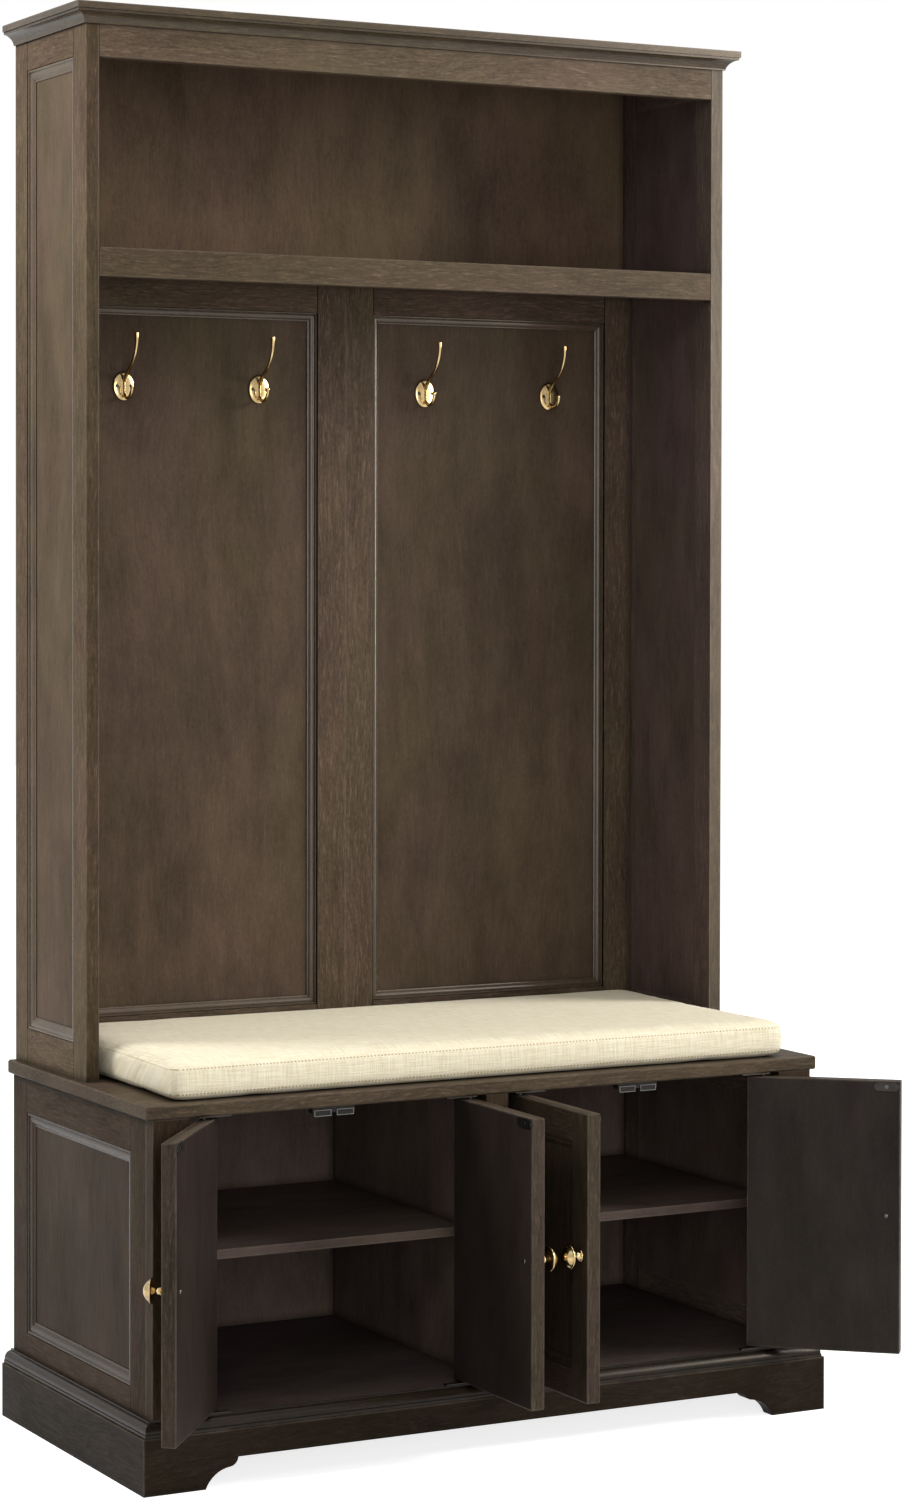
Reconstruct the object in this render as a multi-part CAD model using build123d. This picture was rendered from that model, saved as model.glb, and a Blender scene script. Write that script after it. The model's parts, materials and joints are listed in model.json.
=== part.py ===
from build123d import *
import os

# Hall tree with hooks, in millimetres.
# Origin on the floor at the middle of the back. +X is the right side, -Y the front, +Z up.

# Driving dimensions: heights
total_height = 1880.0
seat_height = 483.4
base_height = 71.6
floor_top = 90.0
crown_height = 25.9
hat_shelf_top = 1566.5
hat_rail_height = 38.0
header_bottom = 1812.0

# Driving dimensions: plan sizes
base_width = 1009.6
base_depth = 486.1
bench_width = 975.8
bench_top_width = 993.5
bench_top_depth = 476.4
hutch_width = 969.3
hutch_depth = 249.2

# Board thicknesses
board_thick = 18.0
side_thick = 18.3
bench_top_thick = 17.9
base_stock = 22.0
shelf_thick = 12.0
bench_back_thick = 8.0
hutch_back_thick = 5.0
back_unit_thick = 22.0
easing = 1.0
bench_top_easing = 2.0

# Frame-and-panel work
hutch_stile = 43.0
hutch_rail = 46.0
bench_stile = 49.0
bench_rail = 48.0
side_recess = 6.6
side_moulding = (17.0, 6.0)
back_stile = 44.0
back_top_rail = 41.0
back_bottom_rail = 52.6
back_recess = 10.0
back_moulding = (12.0, 8.0)

# Base: ogee bracket feet and the moulding on top of the rails
foot_length = 84.0
# Heel to knee and to throat, and the middles of the hollow and the swell between them
foot_knee = (33.0, 25.0)
foot_ogee = (45.0, 36.5)
foot_hollow = (10.5, 15.0)
foot_swell = (8.4, 28.8)
base_moulding_step = 2.5
base_moulding_width = 14.4

# Crown
crown_reach = 19.0
crown_fascia = 8.7
crown_fillet = 17.0
# Foot, middle and top of the cove
crown_cove = ((3.0, 1.8), (7.4, 9.2), (15.5, 13.8))

# Doors: four leaves on pivots let into their ends
door_width = 208.0
door_thick = 19.0
door_bottom = 93.0
door_top = 461.0
door_front = -474.0
door_stile = 38.0
door_recess = 6.0
door_moulding = (12.0, 5.4)
leaf_gap = 3.0
pivot_from_edge = 20.0
pivot_from_front = 6.0
outer_hinge_edge = 436.0
stile_gap = 1.5
stile_back = -453.0

# Angles at which the doors stand open
open_left_outer = 128.0
open_left_inner = 90.0
open_right_inner = 90.0
open_right_outer = 138.5

# Pivot hinges
pin_radius = 2.5
pin_clearance = 0.05
pin_depth = 8.0
end_room = 1.0
leaf_length = 44.0
leaf_width = 9.0
leaf_lead = 8.0
socket_length = 24.0
socket_depth = 11.0
top_plate_thick = 2.2
bottom_plate_thick = 1.6

# Door furniture
knob_from_edge = 19.0
knob_height = 279.0
knob_length = 27.0
# Radius and height of each turned step, from the foot to the dome
knob_profile = (
    (8.0, 0),
    (8.0, 1.2),
    (4.3, 5.6),
    (4.3, 9.6),
    (15.4, 15.0),
    (16.0, 17.4),
    (12.6, 21.6),
    (6.4, 25.8),
)
strike_size = (34.0, 1.2, 12.0)
strike_corner = 4.0
strike_inset = 1.5
catch_size = (60.0, 13.0, 11.0)
catch_head = (24.0, 1.3, 8.0)
catch_head_inset = 2.0
catch_head_drop = 1.0
catch_gap = 0.4

# Shelves in the cabinet
shelf_top = 282.0
shelf_front = -405.0
shelf_side_gap = 1.0
shelf_pin_radius = 2.5
shelf_pin_bore = (2.55, 8.0)
shelf_pin_stand = 9.0
shelf_pin_places = (-60.0, -370.0)

# Hooks
hook_height = 1398.4
hook_places = (-334.5, -130.5, 130.5, 334.5)
plate_half = (15.5, 20.0)
plate_crown_half = (11.0, 15.0)
plate_thick = 3.2
rib_size = (34.0, 6.4)
rib_height = 4.6
long_root = (1.9, 3.0)
long_lean = (0.47, 0.883)
long_lower_bend = (54.0, -32.0)
long_upper_bend = (49.0, 64.0)
# Share of the prong's length and its radius there
long_stations = ((0, 1.6), (0.12, 2.7), (0.4, 2.3), (0.7, 2.2), (0.94, 3.2), (1, 3.8))
crook_root = (1.9, -9.0)
crook_lean = (0.5, -0.866)
crook_bend = (15.0, 160.0)
crook_stations = ((0, 1.6), (0.14, 2.5), (0.42, 2.4), (0.7, 2.3), (0.88, 2.4), (0.94, 3.5), (1, 2.2))

# Seat cushion
cushion_half_width = 461.0
cushion_back = -32.0
cushion_front = -465.0
cushion_bow = 3.0
cushion_corner = 15.0
cushion_corner_taper = 0.1
# Height above the seat and inset of each ring, from the base over the rounded edge to the crown
cushion_rings = ((0, 5), (5, 1.2), (13, 0), (34, 0.6), (42, 3.5), (46.5, 9.5), (48.3, 24), (49, 60))

# Planes worked out from the dimensions above
bench_under = seat_height - bench_top_thick
bench_half = bench_width / 2
bench_inner = bench_half - side_thick
hutch_half = hutch_width / 2
hutch_inner = hutch_half - side_thick
base_half = base_width / 2
crown_bottom = total_height - crown_height
hutch_top = total_height - board_thick
rail_back = -hutch_depth + board_thick
back_face = -hutch_back_thick - back_unit_thick
back_panel_face = back_face + back_recess
shelf_under = hat_shelf_top - board_thick
moulding_back = -base_depth + base_moulding_step + base_moulding_width
partition_half = board_thick / 2
pivot_y = door_front + pivot_from_front
door_back = door_front + door_thick
inner_hinge_edge = outer_hinge_edge - 2 * door_width - leaf_gap
meeting = outer_hinge_edge - door_width - leaf_gap / 2

pieces = {}


def keep(name, *solids):
    pieces[name] = solids


def board(x_ends, y_ends, z_ends):
    sizes = [abs(b - a) for a, b in (x_ends, y_ends, z_ends)]
    middle = [(a + b) / 2 for a, b in (x_ends, y_ends, z_ends)]
    return Pos(*middle) * Box(*sizes)


def rod(start, axis, radius, length):
    return extrude(Plane(origin=start, z_dir=axis) * Circle(radius), amount=length)


def eased(solid, amount=easing):
    return chamfer(solid.edges(), amount)


# Mouldings: a section with u across and v up, carried along X with square or mitred ends


def panel_section(size):
    # A bead along the frame, a quirk beside it, then a swelling face down to a low step on the panel
    width, depth = size
    quirk = (0.27 * width, 0.68 * depth)
    face_end = (0.86 * width, 0.26 * depth)
    bead = Polyline((0, 0), (0, 0.88 * depth), (0.06 * width, depth), (0.18 * width, depth), quirk)
    face = ThreePointArc(quirk, (0.62 * width, 0.62 * depth), face_end)
    step = Polyline(face_end, (width, 0.18 * depth), (width, 0), (0, 0))
    return make_face([bead, face, step])


def base_section():
    width = base_moulding_width
    height = floor_top - base_height
    lip = (0.31 * width, height)
    shoulder = (0.38 * width, 0.88 * height)
    toe = (0.92 * width, 0.22 * height)
    top = Polyline((0, 0), (0, height), lip, (lip[0], shoulder[1]), shoulder)
    swell = ThreePointArc(shoulder, (0.80 * width, 0.66 * height), toe)
    bottom = Polyline(toe, (width, toe[1]), (width, 0), (0, 0))
    return make_face([top, swell, bottom])


def crown_section():
    cove_foot, cove_middle, cove_top = crown_cove
    fascia_foot = crown_height - crown_fascia
    foot = Polyline((0, 0), (cove_foot[0], 0), cove_foot)
    cove = ThreePointArc(cove_foot, cove_middle, cove_top)
    head = Polyline(
        cove_top,
        (crown_fillet, cove_top[1]),
        (crown_fillet, fascia_foot),
        (crown_reach, fascia_foot),
        (crown_reach, crown_height),
        (0, crown_height),
        (0, 0),
    )
    return make_face([foot, cove, head])


def mitred_bar(section, length, width, start, end):
    # start and end: 0 square, 1 an inside mitre, -1 an outside mitre
    run = Pos(-width, 0, 0) * extrude(Plane.YZ * section, amount=length + 2 * width)
    plan = Polyline((0, 0), (length, 0), (length - end * width, width), (start * width, width), close=True)
    return (run & extrude(make_face(plan), amount=crown_height)).solids()[0]


def moulding_ring(size, opening):
    # Four bars mitred together inside an opening of width and height, on the plane z = 0
    width, height = opening
    section = panel_section(size)
    level = mitred_bar(section, width, size[0], 1, 1)
    upright = mitred_bar(section, height, size[0], 1, 1)
    return [
        level,
        Pos(width, 0, 0) * Rot(0, 0, 90) * upright,
        Pos(width, height, 0) * Rot(0, 0, 180) * level,
        Pos(0, height, 0) * Rot(0, 0, 270) * upright,
    ]


def panel_unit(plane, size, stiles, rails, thick, recess, moulding):
    # Frame of two stiles and two rails round a recessed panel that is flush with the frame's back
    width, height = size
    inner_x = (stiles[0], width - stiles[1])
    inner_y = (rails[0], height - rails[1])
    frame = [
        board((0, inner_x[0]), (0, height), (0, thick)),
        board((inner_x[1], width), (0, height), (0, thick)),
        board(inner_x, (0, inner_y[0]), (0, thick)),
        board(inner_x, (inner_y[1], height), (0, thick)),
    ]
    panel = board(inner_x, inner_y, (0, thick - recess))
    opening = (inner_x[1] - inner_x[0], inner_y[1] - inner_y[0])
    corner = Pos(inner_x[0], inner_y[0], thick - recess)
    ring = [corner * bar for bar in moulding_ring(moulding, opening)]
    place = plane.location
    return [place * f for f in frame], place * panel, [place * b for b in ring]


def side_unit(side, inner, bottom, top, depth, stile, rail):
    # Left (-1) or right (1) side facing outwards. Its width runs from the back at left, the front at right.
    start = -depth if side > 0 else 0
    plane = Plane(origin=(side * inner, start, bottom), x_dir=(0, side, 0), z_dir=(side, 0, 0))
    return panel_unit(
        plane, (depth, top - bottom), (stile, stile), (rail, rail), side_thick, side_recess, side_moulding
    )


# Base


def base_rails():
    inner_half = base_half - base_stock
    rail_top = (0, base_height)
    front_line = -base_depth
    back_line = front_line + base_stock
    knee = (base_half - foot_length - foot_knee[0], foot_knee[1])
    throat = (base_half - foot_length - foot_ogee[0], foot_ogee[1])
    heel = (base_half - foot_length, 0)
    hollow = ThreePointArc(heel, (heel[0] - foot_hollow[0], foot_hollow[1]), knee)
    swell = ThreePointArc(knee, (knee[0] - foot_swell[0], foot_swell[1]), throat)
    half = [
        Line((base_half, base_height), (base_half, 0)),
        Line((base_half, 0), heel),
        hollow,
        swell,
        Line(throat, (0, throat[1])),
        Line((0, throat[1]), (0, base_height)),
        Line((0, base_height), (base_half, base_height)),
    ]
    right_half = extrude(Plane.XZ * make_face(half), amount=base_depth)
    outline = right_half + right_half.mirror(Plane.YZ)
    mitre = Polyline(
        (-base_half, front_line),
        (base_half, front_line),
        (inner_half, back_line),
        (-inner_half, back_line),
        close=True,
    )
    keep("base_front_rail", (outline & extrude(make_face(mitre), amount=base_height)).solids()[0])
    for name, side in (("base_left_rail", -1), ("base_right_rail", 1)):
        plan = Polyline(
            (side * base_half, 0),
            (side * base_half, front_line),
            (side * inner_half, back_line),
            (side * inner_half, 0),
            close=True,
        )
        keep(name, extrude(make_face(plan), amount=base_height))
    keep("base_back_rail", board((-inner_half, inner_half), (-base_stock, 0), rail_top))


def base_mouldings():
    section = base_section()
    front = mitred_bar(section, bench_width, base_moulding_width, -1, -1)
    keep("base_moulding_front", Pos(bench_half, moulding_back, base_height) * Rot(0, 0, 180) * front)
    return_bar = mitred_bar(section, -moulding_back, base_moulding_width, -1, 0)
    left = Pos(-bench_half, moulding_back, base_height) * Rot(0, 0, 90) * return_bar
    keep("base_moulding_left", left)
    keep("base_moulding_right", left.mirror(Plane.YZ))


# Bench cabinet


def pin_bores(side, wall):
    depth = shelf_pin_bore[1]
    level = shelf_top - shelf_thick - shelf_pin_radius
    return [rod((wall, y, level), (side, 0, 0), shelf_pin_bore[0], depth) for y in shelf_pin_places]


def bench_case():
    floor = board((-bench_inner, bench_inner), (stile_back, -bench_back_thick), (base_height, floor_top))
    lip = board((-bench_half, bench_half), (moulding_back, stile_back), (base_height, floor_top))
    keep("cabinet_floor", floor + lip)
    depth = -stile_back
    for name, side in (("bench_left", -1), ("bench_right", 1)):
        frame, panel, ring = side_unit(
            side, bench_inner, base_height, bench_under, depth, bench_stile, bench_rail
        )
        for bore in pin_bores(side, side * bench_inner):
            panel = panel - bore
        keep(name + "_frame", *frame)
        keep(name + "_panel", panel)
        keep(name + "_moulding", *ring)
    case_height = (floor_top, bench_under)
    wall = board((-partition_half, partition_half), (stile_back, -bench_back_thick), case_height)
    for side in (-1, 1):
        for bore in pin_bores(-side, side * partition_half):
            wall = wall - bore
    keep("partition", wall)
    across = (-bench_inner, bench_inner)
    keep("bench_back_panel", board(across, (-bench_back_thick, 0), (base_height, bench_under)))
    end_inner = outer_hinge_edge + stile_gap
    centre_half = inner_hinge_edge - stile_gap
    stile_y = (door_front, stile_back)
    keep(
        "face_frame_stiles",
        board((-bench_half, -end_inner), stile_y, case_height),
        board((-centre_half, centre_half), stile_y, case_height),
        board((end_inner, bench_half), stile_y, case_height),
    )
    top_half = bench_top_width / 2
    top = board((-top_half, top_half), (-bench_top_depth, 0), (bench_under, seat_height))
    keep("bench_top", eased(top, bench_top_easing))


def shelves():
    pins = []
    level = shelf_top - shelf_thick - shelf_pin_radius
    for name, side in (("left_shelf", -1), ("right_shelf", 1)):
        ends = (side * (partition_half + shelf_side_gap), side * (bench_inner - shelf_side_gap))
        run = (shelf_front, -bench_back_thick - shelf_side_gap)
        keep(name, board(ends, run, (shelf_top - shelf_thick, shelf_top)))
        for wall, way in ((side * partition_half, side), (side * bench_inner, -side)):
            start = wall - way * shelf_pin_bore[1]
            reach = shelf_pin_bore[1] + shelf_pin_stand
            pins += [rod((start, y, level), (way, 0, 0), shelf_pin_radius, reach) for y in shelf_pin_places]
    keep("shelf_pins", *pins)


def catches():
    # A double catch over each pair of doors: a body under the bench top with two magnet heads in front
    solids = []
    front = door_back + strike_size[1] + catch_gap + catch_head[1]
    head_top = door_top - strike_inset - catch_head_drop
    head_level = (head_top - catch_head[2], head_top)
    head_reach = catch_size[0] / 2 - catch_head[0] / 2 - catch_head_inset
    for side in (-1, 1):
        middle = side * meeting
        span = (middle - catch_size[0] / 2, middle + catch_size[0] / 2)
        body = board(span, (front, front + catch_size[1]), (bench_under - catch_size[2], bench_under))
        for way in (-1, 1):
            centre = middle + way * head_reach
            head_span = (centre - catch_head[0] / 2, centre + catch_head[0] / 2)
            body = body + board(head_span, (front - catch_head[1], front), head_level)
        solids.append(body)
    keep("magnetic_catches", *solids)


# Doors


def leaf_outline(pivot_x, hand, length):
    # Hinge leaf seen from above, running from just behind the pivot towards the free edge
    middle = pivot_x + hand * (length / 2 - leaf_lead)
    return Pos(middle, pivot_y) * Rectangle(length, leaf_width)


def door(name, pivot_x, hand, opening):
    # hand is 1 where the free edge lies towards +X of the pivot when closed, -1 where towards -X
    hinge_edge = pivot_x - hand * pivot_from_edge
    free_edge = hinge_edge + hand * door_width
    low, high = sorted((hinge_edge, free_edge))
    slab = eased(board((low, high), (door_front, door_back), (door_bottom, door_top)))
    field_x = (low + door_stile, high - door_stile)
    field_z = (door_bottom + door_stile, door_top - door_stile)
    pocket = board(field_x, (door_front, door_front + door_recess), field_z)
    face = Plane(
        origin=(field_x[0], door_front + door_recess, field_z[0]), x_dir=(1, 0, 0), z_dir=(0, -1, 0)
    )
    field = (field_x[1] - field_x[0], field_z[1] - field_z[0])
    slab = slab - pocket
    for bar in moulding_ring(door_moulding, field):
        slab = slab + face.location * bar

    sockets = []
    for end, way in ((door_top, -1), (door_bottom, 1)):
        outline = Pos(0, 0, end) * leaf_outline(pivot_x, hand, socket_length)
        socket = extrude(outline, amount=way * socket_depth)
        slab = slab - socket
        bore = rod((pivot_x, pivot_y, end), (0, 0, way), pin_radius + pin_clearance, pin_depth + end_room)
        sockets.append(socket - bore)

    knob_x = free_edge - hand * knob_from_edge
    strike_end = free_edge - hand * strike_inset
    strike_top = door_top - strike_inset
    strike = board(
        (strike_end - hand * strike_size[0], strike_end),
        (door_back, door_back + strike_size[1]),
        (strike_top - strike_size[2], strike_top),
    )
    strike = chamfer(strike.edges().filter_by(Axis.Y), strike_corner)
    seat = Plane(origin=(knob_x, door_front, knob_height), x_dir=(1, 0, 0), z_dir=(0, -1, 0))
    pivot = Pos(pivot_x, pivot_y, 0)
    swing = pivot * Rot(0, 0, -hand * opening) * pivot.inverse()
    keep(name + "_door", swing * slab.solids()[0])
    keep(name + "_knob", swing * (seat.location * knob()))
    keep(name + "_fittings", *[swing * piece for piece in (*sockets, strike)])


def knob():
    # Turned mushroom knob: flared foot, thin neck, and a wide head under a low dome
    outline = Polyline((0, 0), *knob_profile, (0, knob_length), close=True)
    return revolve(Plane.XZ * make_face(outline), axis=Axis.Z)


def pivot_plates():
    # Fixed halves of the hinges: a plate with a pin, under the bench top and on the floor
    solids = []
    outer = outer_hinge_edge - pivot_from_edge
    inner = inner_hinge_edge + pivot_from_edge
    levels = (
        (bench_under, -1, top_plate_thick, door_top),
        (floor_top, 1, bottom_plate_thick, door_bottom),
    )
    for pivot_x, hand in ((-outer, 1), (-inner, -1), (inner, 1), (outer, -1)):
        for level, way, thick, door_end in levels:
            outline = Pos(0, 0, level) * leaf_outline(pivot_x, hand, leaf_length)
            plate = extrude(outline, amount=way * thick)
            pin = rod((pivot_x, pivot_y, level), (0, 0, way), pin_radius, abs(door_end - level) + pin_depth)
            solids.append((plate + pin).solids()[0])
    keep("pivot_plates", *solids)


def doors():
    outer = outer_hinge_edge - pivot_from_edge
    inner = inner_hinge_edge + pivot_from_edge
    door("left_outer", -outer, 1, open_left_outer)
    door("left_inner", -inner, -1, open_left_inner)
    door("right_inner", inner, 1, open_right_inner)
    door("right_outer", outer, -1, open_right_outer)


# Hutch


def hutch_case():
    for name, side in (("hutch_left", -1), ("hutch_right", 1)):
        frame, panel, ring = side_unit(
            side, hutch_inner, seat_height, hutch_top, hutch_depth, hutch_stile, hutch_rail
        )
        keep(name + "_frame", *frame)
        keep(name + "_panel", panel)
        keep(name + "_moulding", *ring)
    inside = (-hutch_inner, hutch_inner)
    front = (-hutch_depth, rail_back)
    keep("hutch_back_panel", board(inside, (-hutch_back_thick, 0), (seat_height, hutch_top)))
    keep("hat_shelf", board(inside, (rail_back, -hutch_back_thick), (shelf_under, hat_shelf_top)))
    keep("hat_shelf_rail", eased(board(inside, front, (hat_shelf_top - hat_rail_height, hat_shelf_top))))
    keep("header_rail", eased(board(inside, front, (header_bottom, hutch_top))))
    keep("top_board", board((-hutch_half, hutch_half), (-hutch_depth, 0), (hutch_top, total_height)))


def lower_back():
    rings = []
    height = shelf_under - seat_height
    for name, start in (("back_left", -hutch_inner), ("back_right", 0)):
        plane = Plane(origin=(start, -hutch_back_thick, seat_height), x_dir=(1, 0, 0), z_dir=(0, -1, 0))
        frame, panel, ring = panel_unit(
            plane,
            (hutch_inner, height),
            (back_stile, back_stile),
            (back_bottom_rail, back_top_rail),
            back_unit_thick,
            back_recess,
            back_moulding,
        )
        keep(name + "_frame", *frame)
        keep(name + "_panel", panel)
        rings += ring
    keep("back_mouldings", *rings)


def crown():
    section = crown_section()
    front = mitred_bar(section, hutch_width, crown_reach, -1, -1)
    keep("crown_front", Pos(hutch_half, -hutch_depth, crown_bottom) * Rot(0, 0, 180) * front)
    return_bar = mitred_bar(section, hutch_depth, crown_reach, -1, 0)
    left = Pos(-hutch_half, -hutch_depth, crown_bottom) * Rot(0, 0, 90) * return_bar
    keep("crown_returns", left, left.mirror(Plane.YZ))


# Hooks


def prong(path, stations):
    # Round bar along a path, given as the share of the path and the radius at each station
    rings = [Plane(origin=path @ t, z_dir=path % t) * Circle(radius) for t, radius in stations]
    return loft(rings, ruled=True)


def hook():
    # Plate on the plane z = 0, +Y up, +Z out of the wall. Prongs are drawn with X out of the wall, Y up.
    upright = Rot(0, -90, 0)
    plate = loft([Ellipse(*plate_half), Pos(0, 0, plate_thick) * Ellipse(*plate_crown_half)], ruled=True)
    rib = extrude(Rot(0, 0, 90) * SlotOverall(*rib_size), amount=rib_height)
    lower_part = JernArc(long_root, long_lean, *long_lower_bend)
    upper_part = JernArc(lower_part @ 1, lower_part % 1, *long_upper_bend)
    long_bar = prong(Wire([lower_part, upper_part]), long_stations)
    short_bar = prong(Wire([JernArc(crook_root, crook_lean, *crook_bend)]), crook_stations)
    body = plate + rib + upright * long_bar + upright * short_bar
    return body.solids()[0]


def hooks():
    shape = hook()
    for number, x in enumerate(hook_places, start=1):
        wall = Plane(origin=(x, back_panel_face, hook_height), x_dir=(1, 0, 0), z_dir=(0, -1, 0))
        keep("hook_" + str(number), wall.location * shape)


# Seat cushion


def cushion_ring(height, inset):
    # Rounded rectangle whose sides draw in between the corners
    half_x = cushion_half_width - inset
    half_y = (cushion_back - cushion_front) / 2 - inset
    round_off = cushion_corner - cushion_corner_taper * inset
    diagonal = round_off * (1 - 0.5**0.5)
    corner_x = half_x - round_off
    corner_y = half_y - round_off
    edges = [
        ThreePointArc((-corner_x, -half_y), (0, -half_y + cushion_bow), (corner_x, -half_y)),
        ThreePointArc((corner_x, -half_y), (half_x - diagonal, -half_y + diagonal), (half_x, -corner_y)),
        ThreePointArc((half_x, -corner_y), (half_x - cushion_bow, 0), (half_x, corner_y)),
        ThreePointArc((half_x, corner_y), (half_x - diagonal, half_y - diagonal), (corner_x, half_y)),
        ThreePointArc((corner_x, half_y), (0, half_y - cushion_bow), (-corner_x, half_y)),
        ThreePointArc((-corner_x, half_y), (-half_x + diagonal, half_y - diagonal), (-half_x, corner_y)),
        ThreePointArc((-half_x, corner_y), (-half_x + cushion_bow, 0), (-half_x, -corner_y)),
        ThreePointArc((-half_x, -corner_y), (-half_x + diagonal, -half_y + diagonal), (-corner_x, -half_y)),
    ]
    middle = (cushion_back + cushion_front) / 2
    return Pos(0, middle, seat_height + height) * make_face(edges)


def cushion():
    keep("seat_cushion", loft([cushion_ring(*ring) for ring in cushion_rings], ruled=True))


base_rails()
base_mouldings()
bench_case()
shelves()
catches()
pivot_plates()
doors()
hutch_case()
lower_back()
crown()
hooks()
cushion()

os.makedirs("parts", exist_ok=True)
for node, solids in pieces.items():
    shape = solids[0] if len(solids) == 1 else Compound(children=list(solids))
    export_step(shape, "parts/" + node + ".step")
print(len(pieces), "nodes")
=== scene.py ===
import bpy
import json
import math
import numpy as np
from mathutils import Matrix, Vector


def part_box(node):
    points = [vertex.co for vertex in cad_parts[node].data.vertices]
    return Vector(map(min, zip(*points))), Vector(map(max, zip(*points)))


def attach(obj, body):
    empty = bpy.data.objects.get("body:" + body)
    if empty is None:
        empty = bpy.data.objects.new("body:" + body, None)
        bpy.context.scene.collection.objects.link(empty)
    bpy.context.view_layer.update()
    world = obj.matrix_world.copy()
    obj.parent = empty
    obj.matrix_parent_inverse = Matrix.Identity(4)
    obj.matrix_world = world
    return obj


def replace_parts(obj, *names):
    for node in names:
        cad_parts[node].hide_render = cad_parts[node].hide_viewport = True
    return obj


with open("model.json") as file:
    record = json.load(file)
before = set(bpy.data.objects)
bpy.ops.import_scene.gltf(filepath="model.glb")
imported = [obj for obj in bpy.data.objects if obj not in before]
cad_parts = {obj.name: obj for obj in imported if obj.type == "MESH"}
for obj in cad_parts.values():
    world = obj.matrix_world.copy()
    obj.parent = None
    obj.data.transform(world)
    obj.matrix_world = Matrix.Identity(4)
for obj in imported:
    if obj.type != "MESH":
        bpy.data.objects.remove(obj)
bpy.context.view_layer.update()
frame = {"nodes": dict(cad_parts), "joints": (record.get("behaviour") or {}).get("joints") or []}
nodes = frame["nodes"]
print("frame loaded with", len(nodes), "nodes")


# Small helpers for shader trees

def addNode(tree, kind, **settings):
    # one new node, with its settings written on it
    node = tree.nodes.new(kind)
    for key, value in settings.items():
        setattr(node, key, value)
    return node


def feed(tree, value, socket):
    # a socket takes either another node's output or a plain value
    if isinstance(value, bpy.types.NodeSocket):
        tree.links.new(value, socket)
    else:
        socket.default_value = value


def math2(tree, operation, a, b=0.0, c=0.0, clamp=False):
    # one step of arithmetic on a, b and, where the step takes three, c
    node = addNode(tree, "ShaderNodeMath", operation=operation, use_clamp=clamp)
    for value, socket in zip((a, b, c), node.inputs):
        feed(tree, value, socket)
    return node.outputs[0]


def away(tree, value, centre):
    # distance from a centre: the size of value less centre
    return math2(tree, "ABSOLUTE", math2(tree, "SUBTRACT", value, centre))


def vector2(tree, operation, a, b):
    # one step of arithmetic on two vectors, part by part
    node = addNode(tree, "ShaderNodeVectorMath", operation=operation)
    feed(tree, a, node.inputs[0])
    feed(tree, b, node.inputs[1])
    return node.outputs[0]


def scaled(tree, colour, factor):
    # colour times factor
    node = addNode(tree, "ShaderNodeVectorMath", operation="SCALE")
    feed(tree, colour, node.inputs[0])
    feed(tree, factor, node.inputs["Scale"])
    return node.outputs[0]


def axes(tree, vector):
    # the three parts of a vector
    node = addNode(tree, "ShaderNodeSeparateXYZ")
    feed(tree, vector, node.inputs[0])
    return node.outputs


def joined(tree, *parts):
    # a vector from its parts, 0 where one is left out
    node = addNode(tree, "ShaderNodeCombineXYZ")
    for part, socket in zip(parts, node.inputs):
        feed(tree, part, socket)
    return node.outputs[0]


def mixColour(tree, factor, a, b, blend="MIX"):
    # a at factor 0, b blended in at factor 1
    node = addNode(tree, "ShaderNodeMix", data_type="RGBA", blend_type=blend)
    feed(tree, factor, node.inputs[0])
    feed(tree, a, node.inputs[6])
    feed(tree, b, node.inputs[7])
    return node.outputs[2]


def mixVector(tree, factor, a, b):
    # a at factor 0, b at factor 1
    node = addNode(tree, "ShaderNodeMix", data_type="VECTOR")
    feed(tree, factor, node.inputs[0])
    feed(tree, a, node.inputs[4])
    feed(tree, b, node.inputs[5])
    return node.outputs[1]


def noise(tree, vector, scale, detail=3.0, rough=0.5, output="Fac"):
    # soft noise, scale lumps to the metre
    node = addNode(tree, "ShaderNodeTexNoise")
    feed(tree, vector, node.inputs["Vector"])
    node.inputs["Scale"].default_value = scale
    node.inputs["Detail"].default_value = detail
    node.inputs["Roughness"].default_value = rough
    return node.outputs[output]


def spread(tree, value, low, high, toLow=0.0, toHigh=1.0):
    # maps low..high to toLow..toHigh, held at both ends
    node = addNode(tree, "ShaderNodeMapRange")
    feed(tree, value, node.inputs["Value"])
    for name, number in (("From Min", low), ("From Max", high), ("To Min", toLow), ("To Max", toHigh)):
        node.inputs[name].default_value = number
    return node.outputs["Result"]


noiseBand = (0.3, 0.7)       # nearly all of a noise lies in this band


def newGroup(name, inputs, outputs):
    # an empty node group with its sockets
    tree = bpy.data.node_groups.new(name, "ShaderNodeTree")
    for label, kind in inputs:
        tree.interface.new_socket(name=label, in_out="INPUT", socket_type="NodeSocket" + kind)
    for label, kind in outputs:
        tree.interface.new_socket(name=label, in_out="OUTPUT", socket_type="NodeSocket" + kind)
    return tree, tree.nodes.new("NodeGroupInput"), tree.nodes.new("NodeGroupOutput")


def placeGroup(tree, group, **values):
    # the group in a material, with its own values
    node = addNode(tree, "ShaderNodeGroup", node_tree=group)
    for label, value in values.items():
        feed(tree, value, node.inputs[label])
    return node


def newMaterial(name):
    # a material, its tree, its shader and the piece's own coordinates
    material = bpy.data.materials.new(name)
    material.use_nodes = True
    tree = material.node_tree
    here = addNode(tree, "ShaderNodeTexCoord").outputs["Object"]
    return material, tree, tree.nodes["Principled BSDF"], here


def bump(tree, height, shader, strength, distance):
    # height tilts the shader's normal
    node = addNode(tree, "ShaderNodeBump")
    node.inputs["Strength"].default_value = strength
    node.inputs["Distance"].default_value = distance
    feed(tree, height, node.inputs["Height"])
    tree.links.new(node.outputs["Normal"], shader.inputs["Normal"])


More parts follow.
